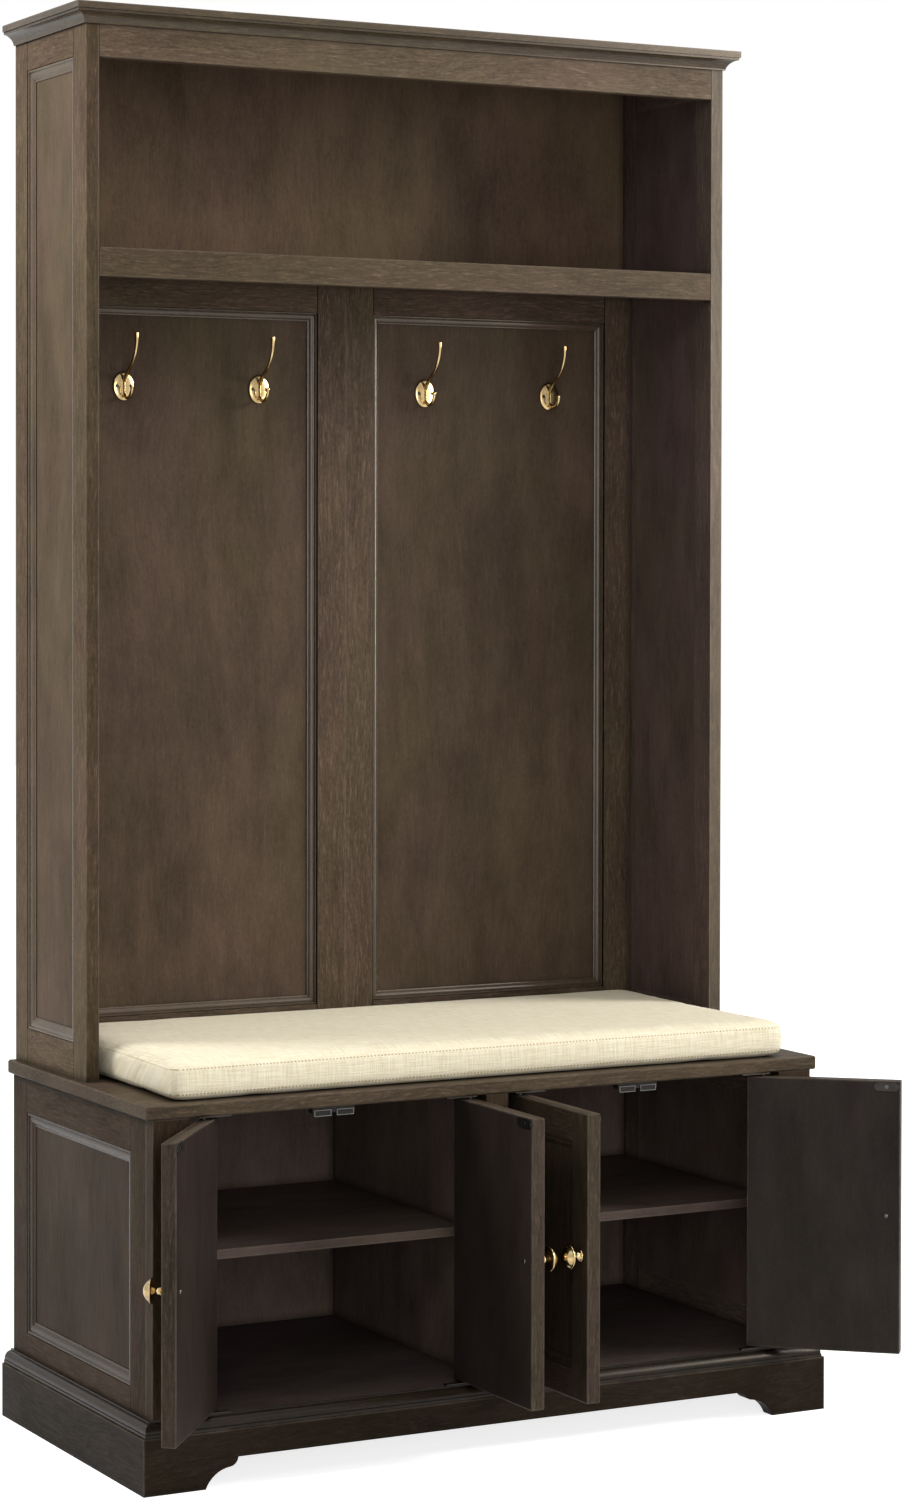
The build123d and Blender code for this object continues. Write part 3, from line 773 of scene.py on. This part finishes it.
# Knobs, and the screws of knobs and strike plates, in each leaf's own directions; profiles in millimetres
knob = {
    "fromEdge": 0.019,
    "height": 0.279,
    "profile": ((0.05, 0.0), (8.0, 0.0), (8.0, 0.9), (7.3, 1.6), (5.6, 3.0), (4.6, 5.2), (4.3, 7.4),
                (4.4, 9.2), (5.6, 10.6), (9.6, 12.7), (13.4, 14.3), (15.2, 15.1), (15.9, 15.9),
                (16.0, 16.7), (15.6, 17.4), (14.7, 17.7), (14.2, 18.2), (12.7, 20.5), (10.4, 22.9),
                (7.4, 25.1), (3.9, 26.5), (0.05, 27.0)),
    "screw": ((0.05, 0.0), (3.2, 0.0), (3.2, 0.6), (2.7, 1.3), (1.7, 1.7), (1.1, 1.7), (0.9, 0.8),
              (0.05, 0.8)),
}
strike = {
    "fromEdge": 0.0185,
    "height": 0.4535,
    "thick": 0.0012,
    "screw": ((2.7, 0.0), (2.6, 0.15), (1.0, 0.18), (0.05, 0.08)),
}
for joint in frame["joints"]:
    name = joint["child"].replace("_leaf", "")
    way = leaves[name]["hand"]
    turn = Matrix.Rotation(math.radians(-way * leaves[name]["open"]), 3, "Z")
    along, through, up = (np.array(turn @ Vector(axis)) for axis in ((1, 0, 0), (0, 1, 0), (0, 0, 1)))
    pivot = np.array((*joint["pos_m"][:2], 0.0))
    edge = leaf["width"] - leaf["toHinge"]
    back = leaf["thick"] - leaf["toFront"]
    knobSpot = pivot + along * way * (edge - knob["fromEdge"]) + up * knob["height"]
    strikeSpot = pivot + along * way * (edge - strike["fromEdge"]) + up * strike["height"]
    title = "".join(word.capitalize() for word in name.split("_"))
    front = knobSpot - through * leaf["toFront"]
    turnedKnob = placed(turnedRings(knob["profile"], 48), front, along, up, -through)
    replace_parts(metalPiece("knob" + title, [turnedKnob], brass, joint["child"]), name + "_knob")
    seats = ((knob["screw"], knobSpot + through * back),
             (strike["screw"], strikeSpot + through * (back + strike["thick"])))
    heads = [placed(turnedRings(profile, 24), seat, -along, up, through) for profile, seat in seats]
    metalPiece("screws" + title, heads, steel, joint["child"])
print("hooks bent and knobs turned")


# Seat cushion: the solid's form, swelled as cloth, with crisp edges and its lower seam drawn in

cushion = {
    "weld": 0.0001,
    "voxel": 0.0048,
    "start": 0.0016,         # how much smaller the cover starts before it swells
    "startLift": 0.2,        # share of that by which it is lifted off the seat
    "pressure": 4.0,
    "frames": 20,
    "cloth": {"quality": 6, "mass": 0.3, "tension_stiffness": 25, "compression_stiffness": 25,
              "shear_stiffness": 12, "bending_stiffness": 6},
    "cap": 0.0032,           # furthest a point may move
    "smoothing": 6,          # rounds that each move a point this share towards its neighbours
    "smoothShare": 0.5,
    "topRound": 0.016,       # soft rounding of the upper edge, which boxing makes crisp
    "lowRound": 0.007,
    "crisp": 3.6,
    "cornerRound": 0.015,
    "sideFrom": 0.55,        # shares of the corner's rounding between which the seam sets in
    "sideOver": 0.3,
    "seamUp": 0.0085,        # height of the lower seam above the seat
    "seamDeep": 0.0016,
    "seamWide": 0.0022,
    "seatGap": 0.0004,       # the cover stays this far above the seat
}


def applyStack(piece):
    # the mesh as its modifiers leave it
    graph = bpy.context.evaluated_depsgraph_get()
    made = bpy.data.meshes.new_from_object(piece.evaluated_get(graph))
    old = piece.data
    piece.modifiers.clear()
    piece.data = made
    bpy.data.meshes.remove(old)


def readPoints(mesh):
    # a mesh's points as rows
    points = np.empty(len(mesh.vertices) * 3, np.float32)
    mesh.vertices.foreach_get("co", points)
    return points.reshape(-1, 3).astype(float)


def writePoints(mesh, points):
    # rows back into the mesh
    mesh.vertices.foreach_set("co", points.astype(np.float32).ravel())
    mesh.update()


def cushionCover(low, high):
    # the solid drawn in towards its middle, lifted a little, and remeshed evenly
    cover = bpy.data.objects.new("seatCushionCover", nodes["seat_cushion"].data.copy())
    bpy.context.scene.collection.objects.link(cover)
    middle, half = (low + high) / 2, (high - low) / 2
    points = middle + (readPoints(cover.data) - middle) * (1 - cushion["start"] / half)
    points[:, 2] += cushion["start"] * cushion["startLift"]
    writePoints(cover.data, points)
    bpy.context.view_layer.objects.active = cover
    cover.modifiers.new("weld", "WELD").merge_threshold = cushion["weld"]
    remesh = cover.modifiers.new("remesh", "REMESH")
    remesh.mode = "VOXEL"
    remesh.voxel_size = cushion["voxel"]
    applyStack(cover)
    return cover


def swell(piece):
    # cloth blown up by pressure; each point keeps its direction and moves no further than the cap
    before = readPoints(piece.data)
    cloth = piece.modifiers.new("cloth", "CLOTH")
    for key, value in cushion["cloth"].items():
        setattr(cloth.settings, key, value)
    cloth.settings.use_pressure = True
    cloth.settings.uniform_pressure_force = cushion["pressure"]
    cloth.settings.effector_weights.gravity = 0
    cloth.collision_settings.use_collision = False
    scene = bpy.context.scene
    for step in range(1, cushion["frames"] + 1):
        scene.frame_set(step)
    graph = bpy.context.evaluated_depsgraph_get()
    swollen = bpy.data.meshes.new_from_object(piece.evaluated_get(graph))
    move = readPoints(swollen) - before
    bpy.data.meshes.remove(swollen)
    piece.modifiers.clear()
    scene.frame_set(1)
    far = np.linalg.norm(move, axis=1, keepdims=True)
    writePoints(piece.data, before + move * np.minimum(1.0, cushion["cap"] / np.maximum(far, 1e-9)))


def boxEdges(inward, down, rounding):
    # a round edge pushed out to a squarer one: the circle's radius over that of a rounded square
    u = np.clip(1 - inward / rounding, 0, 1)
    v = np.clip(1 - down / rounding, 0, 1)
    power = cushion["crisp"]
    squarer = np.hypot(u, v) / np.maximum((u ** power + v ** power) ** (1 / power), 1e-6)
    grow = np.where((u > 0) & (v > 0), squarer - 1, 0.0) * rounding
    return grow * u, grow * v


def sewSeams(piece, low, high):
    # crisp upper and lower edges, and a bell-shaped groove round the sides at the lower seam
    points = readPoints(piece.data)
    middle, half = (low + high) / 2, (high - low) / 2
    rounding = cushion["cornerRound"]
    flat = points[:, :2] - middle[:2]
    beyond = np.maximum(np.abs(flat) - (half[:2] - rounding), 0.0)
    reach = np.linalg.norm(beyond, axis=1)
    outward = np.sign(flat) * beyond / np.maximum(reach, 1e-6)[:, None]
    inward = np.where(reach > 0, rounding - reach, rounding)
    lift = points[:, 2] - low[2]
    sideOut, upward = boxEdges(inward, high[2] - points[:, 2], cushion["topRound"])
    lowOut, downward = boxEdges(inward, lift, cushion["lowRound"])
    side = np.clip((reach / rounding - cushion["sideFrom"]) / cushion["sideOver"], 0, 1)
    groove = np.exp(-(((lift - cushion["seamUp"]) / cushion["seamWide"]) ** 2))
    points[:, :2] += outward * (sideOut + lowOut - side * groove * cushion["seamDeep"])[:, None]
    points[:, 2] = np.maximum(points[:, 2] + upward - downward, low[2] + cushion["seatGap"])
    writePoints(piece.data, points)


fabric = {
    "threadScale": 520.0,
    "threadRun": (0.045, 0.05),          # threads across and down are drawn out by these shares
    "weave": 0.0019,                     # from one thread to the next
    "weaveTone": 0.18,
    "toneBand": (-0.8, 0.8),
    "dark": srgb(202, 189, 155),
    "pale": srgb(232, 224, 203),
    "cloudScale": 7.0,
    "cloudShare": 0.18,
    "cloudColour": srgb(221, 211, 182),
    "stitch": 0.0050,                    # from one stitch to the next
    "stitchShare": 0.8,
    "stitchColour": srgb(150, 132, 92),
    "stitchEnds": (-0.2, 0.2),           # a stitch fades in between these values of the sine
    "stitchHalf": (0.0009, 0.0008),      # half widths of the lower and the upper row
    "upperRow": 0.55,                    # depth of the upper row, as a share of the edge's rounding
    "rough": 0.88,
    "specular": 0.22,
    "sheen": 0.08,
    "sheenRough": 0.5,
    "reliefOfTone": 0.5,
    "reliefOfWeave": 0.4,
    "relief": 0.5,
    "reliefDepth": 0.0007,
}


def stitches(tree, x, y, z):
    # dashes, where a sine along the edge is high, in two rows at set heights
    low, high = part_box("seat_cushion")
    heights = (low.z + cushion["seamUp"], high.z - cushion["topRound"] * fabric["upperRow"])
    rows = [math2(tree, "COMPARE", z, *row) for row in zip(heights, fabric["stitchHalf"])]
    along = math2(tree, "MULTIPLY", math2(tree, "ADD", x, y), 2 * math.pi / fabric["stitch"])
    dashes = spread(tree, math2(tree, "SINE", along), *fabric["stitchEnds"])
    return math2(tree, "MULTIPLY", math2(tree, "ADD", *rows), dashes)


def fabricMaterial():
    # long threads both ways plus a weave of two sines; y and z together run down the front and the top
    material, tree, shader, here = newMaterial("oatmealLinen")
    x, y, z = axes(tree, here)
    down = math2(tree, "ADD", y, z)
    acrossRun, downRun = fabric["threadRun"]
    runs = (joined(tree, math2(tree, "MULTIPLY", x, acrossRun), down),
            joined(tree, x, math2(tree, "MULTIPLY", down, downRun)))
    threads = [noise(tree, run, fabric["threadScale"], 2.0, 0.6) for run in runs]
    waves = [math2(tree, "SINE", math2(tree, "MULTIPLY", run, 2 * math.pi / fabric["weave"]))
             for run in (x, down)]
    crossing = math2(tree, "MULTIPLY", *waves)
    tone = math2(tree, "ADD", *(spread(tree, thread, *noiseBand, -0.5, 0.5) for thread in threads))
    tone = math2(tree, "ADD", tone, math2(tree, "MULTIPLY", crossing, fabric["weaveTone"]))
    cloth = mixColour(tree, spread(tree, tone, *fabric["toneBand"]), fabric["dark"], fabric["pale"])
    cloud = noise(tree, here, fabric["cloudScale"], 3.0)
    cloudy = spread(tree, cloud, *noiseBand, 0.0, fabric["cloudShare"])
    cloth = mixColour(tree, cloudy, cloth, fabric["cloudColour"])
    sewn = math2(tree, "MULTIPLY", stitches(tree, x, y, z), fabric["stitchShare"])
    cloth = mixColour(tree, sewn, cloth, fabric["stitchColour"])
    tree.links.new(cloth, shader.inputs["Base Color"])
    shader.inputs["Roughness"].default_value = fabric["rough"]
    shader.inputs["Specular IOR Level"].default_value = fabric["specular"]
    shader.inputs["Sheen Weight"].default_value = fabric["sheen"]
    shader.inputs["Sheen Roughness"].default_value = fabric["sheenRough"]
    height = math2(tree, "ADD", math2(tree, "MULTIPLY", tone, fabric["reliefOfTone"]),
                   math2(tree, "MULTIPLY", crossing, fabric["reliefOfWeave"]))
    bump(tree, height, shader, fabric["relief"], fabric["reliefDepth"])
    return material


linen = fabricMaterial()
seatLow, seatHigh = (np.array(corner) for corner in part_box("seat_cushion"))
cover = cushionCover(seatLow, seatHigh)
swell(cover)
smoother = cover.modifiers.new("smoother", "SMOOTH")
smoother.factor = cushion["smoothShare"]
smoother.iterations = cushion["smoothing"]
applyStack(cover)
sewSeams(cover, seatLow, seatHigh)
cover.data.materials.clear()
cover.data.materials.append(linen)
cover.data.shade_smooth()
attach(cover, "cabinet")
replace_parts(cover, "seat_cushion")
print("cushion sewn with", len(cover.data.polygons), "faces")


# Stage, light and camera

stage = {
    "floorHalf": 14.0,
    "floorColour": (0.55, 0.55, 0.55, 1),
    "floorRough": 0.9,
    "floorSheen": 0.1,
    "glowNear": 0.80,        # the floor's own glow beside the object, where shadows fall
    "glowFar": 1.0,          # and where it runs into the white behind
    "nearRadius": 0.8,
    "farRadius": 2.4,
    "worldFill": 0.19,
}


def seenDirectly(tree):
    # 1 for what the camera sees, also in a reflection or through glass
    path = addNode(tree, "ShaderNodeLightPath")
    seen = math2(tree, "ADD", path.outputs["Is Camera Ray"], path.outputs["Is Glossy Ray"])
    return math2(tree, "ADD", seen, path.outputs["Is Transmission Ray"], clamp=True)


def floorSheet():
    # one square that takes shadows; its glow grows with the distance from the object
    half = stage["floorHalf"]
    corners = [(-half, -half, 0), (half, -half, 0), (half, half, 0), (-half, half, 0)]
    mesh = bpy.data.meshes.new("studioFloor")
    mesh.from_pydata(corners, [], [(0, 1, 2, 3)])
    floor = bpy.data.objects.new("studioFloor", mesh)
    bpy.context.scene.collection.objects.link(floor)
    material, tree, shader, here = newMaterial("studioWhite")
    shader.inputs["Base Color"].default_value = stage["floorColour"]
    shader.inputs["Roughness"].default_value = stage["floorRough"]
    shader.inputs["Specular IOR Level"].default_value = stage["floorSheen"]
    radius = addNode(tree, "ShaderNodeVectorMath", operation="LENGTH")
    tree.links.new(here, radius.inputs[0])
    glow = spread(tree, radius.outputs["Value"], stage["nearRadius"], stage["farRadius"],
                  stage["glowNear"], stage["glowFar"])
    shader.inputs["Emission Color"].default_value = (1, 1, 1, 1)
    feed(tree, math2(tree, "MULTIPLY", seenDirectly(tree), glow), shader.inputs["Emission Strength"])
    mesh.materials.append(material)


def studioWorld():
    # white where it is seen, a weak even fill for everything else
    world = bpy.data.worlds.new("studioWorld")
    bpy.context.scene.world = world
    world.use_nodes = True
    tree = world.node_tree
    back = tree.nodes["Background"]
    back.inputs["Color"].default_value = (1, 1, 1, 1)
    feed(tree, spread(tree, seenDirectly(tree), 0, 1, stage["worldFill"], 1.0), back.inputs["Strength"])


# where each lamp stands, what it points at, its size and power; a gleam shows in reflections alone
lamps = {
    "leftBank": {"at": (-2.7, 1.0, 2.9), "to": (-0.5, -0.2, 1.7), "size": (1.8, 1.8), "power": 82,
                 "reflected": False},
    "leftGleam": {"at": (-2.7, 1.0, 2.9), "to": (-0.5, -0.2, 1.7), "size": (1.0, 1.6), "power": 40},
    "rightBank": {"at": (3.6, -2.2, 2.7), "to": (-0.2, 0.0, 1.0), "size": (1.4, 1.6), "power": 222},
    "topBank": {"at": (0.0, -0.9, 4.2), "to": (0.0, -0.5, 0.5), "size": (2.4, 1.2), "power": 48},
    "highFill": {"at": (-2.2, -3.2, 3.4), "to": (0.3, 0.0, 1.3), "size": (2.0, 1.6), "power": 36},
    "rightGleam": {"at": (3.1, -3.35, 1.75), "to": (0.45, -0.3, 1.3), "size": (0.9, 2.0), "power": 230,
                   "colour": (1.0, 0.86, 0.70), "lights": False},
    "frontFill": {"at": (-1.1, -4.6, 1.2), "to": (0.0, -0.4, 0.6), "size": (2.4, 1.8), "power": 61},
}


def hangLamps():
    # each lamp's own -Z axis points from where it stands to its mark
    for name, look in lamps.items():
        data = bpy.data.lights.new(name, "AREA")
        data.shape = "RECTANGLE"
        data.size, data.size_y = look["size"]
        data.energy = look["power"]
        data.color = look.get("colour", (1, 1, 1))
        lamp = bpy.data.objects.new(name, data)
        bpy.context.scene.collection.objects.link(lamp)
        lamp.location = look["at"]
        aim = Vector(look["to"]) - Vector(look["at"])
        lamp.rotation_euler = aim.to_track_quat("-Z", "Y").to_euler()
        lamp.visible_camera = False
        lamp.visible_glossy = look.get("reflected", True)
        lamp.visible_diffuse = look.get("lights", True)


# the photograph's camera, from its vanishing lines: focal length and principal row in its 905 by 1500 frame
view = {
    "frameTall": 1500,
    "focal": 3626.94,
    "principalRow": 613.54,
    "sensor": 36.0,
    "clipEnd": 50,
    "at": (-2.2722, -4.6126, 1.1719),
    "yaw": 28.049,
    "pitch": 0.970,
    "roll": 0.0955,
}


def placeCamera():
    # stands at its point, turned by yaw, tilted by pitch and rolled; the shift moves the principal row
    data = bpy.data.cameras.new("photoCamera")
    data.sensor_width = view["sensor"]
    data.lens = view["focal"] * view["sensor"] / view["frameTall"]
    data.shift_y = (view["principalRow"] - view["frameTall"] / 2) / view["frameTall"]
    data.clip_end = view["clipEnd"]
    camera = bpy.data.objects.new("photoCamera", data)
    bpy.context.scene.collection.objects.link(camera)
    turn = Matrix.Rotation(-math.radians(view["yaw"]), 4, "Z")
    tilt = Matrix.Rotation(math.radians(90 - view["pitch"]), 4, "X")
    roll = Matrix.Rotation(math.radians(view["roll"]), 4, "Z")
    camera.matrix_world = Matrix.Translation(view["at"]) @ turn @ tilt @ roll
    bpy.context.scene.camera = camera


floorSheet()
studioWorld()
hangLamps()
placeCamera()
bpy.context.scene.view_settings.view_transform = "Standard"
print("stage lit and camera placed")
